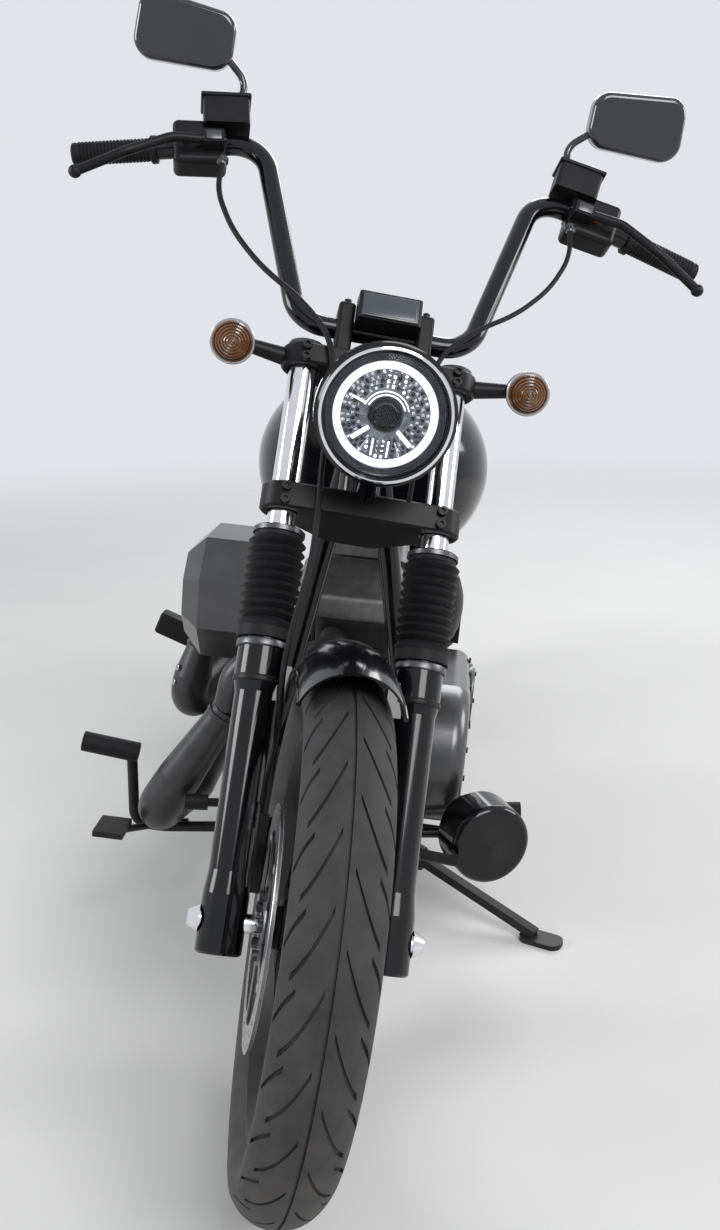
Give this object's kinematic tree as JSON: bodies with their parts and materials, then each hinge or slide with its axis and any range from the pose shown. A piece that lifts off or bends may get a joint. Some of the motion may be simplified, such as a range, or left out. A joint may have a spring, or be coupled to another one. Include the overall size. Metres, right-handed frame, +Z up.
{
  "type": "cruiser motorcycle",
  "caption": "Black cruiser motorcycle with an air-cooled vee engine, high handlebar, round headlamp, laced wheels and side stand, leaning on its stand.",
  "frame": {"origin": "on the floor, under the middle of the whole machine as it leans on its side stand", "axes": "+X towards the rider's left, +Y towards the rear, +Z up; the front faces -Y"},
  "size_m": [1.006, 2.3139, 1.5023],
  "materials": {
    "chrome": "polished",
    "gloss_black": "deep gloss black paint",
    "graphite": "dark grey satin paint",
    "lens": "clear",
    "plate": "blank plate",
    "red_lens": "gloss",
    "rubber": "matt",
    "satin_black": "satin black powder coat",
    "seat": "soft matt cover",
    "silver": "satin silver",
    "steel": "brushed",
    "tyre": "matt rubber"
  },
  "bodies": {
    "frame": {"rear_fender": "gloss_black", "rear_signals": "graphite", "frame_backbone": "gloss_black", "fender_struts": "gloss_black", "swingarm": "gloss_black", "rear_axle": "chrome", "cylinders": "graphite", "rocker_boxes": "silver", "primary_cover": "graphite", "crankcase": "graphite", "pushrod_tubes": "chrome", "air_cleaner": "graphite", "horn_cover": "satin_black", "exhaust_pipes": "graphite", "mufflers": "graphite", "fuel_tank": "gloss_black", "fuel_cap": "gloss_black", "seat": "seat", "side_covers": "satin_black", "voltage_regulator": "satin_black", "drive_belt": "rubber", "footpegs": "rubber", "foot_controls": "satin_black", "tool_canister": "gloss_black", "tail_lamp": "red_lens", "number_plate": "plate", "rear_caliper": "satin_black", "frame_cradles": "gloss_black"},
    "front_wheel": {"front_tyre": "tyre", "front_rim": "gloss_black", "front_disc": "steel"},
    "rear_wheel": {"rear_tyre": "tyre", "rear_rim": "gloss_black", "rear_disc": "steel", "rear_pulley": "satin_black"},
    "side_stand": {"side_stand": "satin_black"},
    "steering": {"lower_clamp": "satin_black", "fork_tubes": "chrome", "fork_gaiters": "rubber", "fork_sliders": "gloss_black", "front_axle": "chrome", "front_fender": "gloss_black", "headlamp_shell": "gloss_black", "headlamp_bezel": "gloss_black", "headlamp_lens": "lens", "handlebar": "gloss_black", "grips": "rubber", "bar_controls": "satin_black", "mirrors": "gloss_black", "upper_clamp": "satin_black", "instrument": "satin_black", "front_signals": "graphite", "front_caliper": "satin_black", "brake_hose": "rubber", "clutch_cable": "rubber"}
  },
  "joints": [
    {"name": "steering", "type": "hinge", "parent": "frame", "child": "steering", "pos_m": [-0.06208, -0.77463, 0.29547], "axis": [0.0917, 0.5049, 0.8583], "range_deg": [-40, 20]},
    {"name": "front_wheel_spin", "type": "hinge", "parent": "steering", "child": "front_wheel", "pos_m": [-0.04765, -0.82904, 0.32593], "axis": [0.9699, 0.1499, -0.1918], "continuous": true},
    {"name": "rear_wheel_spin", "type": "hinge", "parent": "frame", "child": "rear_wheel", "pos_m": [-0.05928, 0.76013, 0.32165], "axis": [0.9943, 0, -0.1063], "continuous": true},
    {"name": "side_stand_fold", "type": "hinge", "parent": "frame", "child": "side_stand", "pos_m": [0.06376, -0.1896, 0.09911], "axis": [0.3699, -0.0555, 0.9274], "range_deg": [0, 96]}
  ]
}
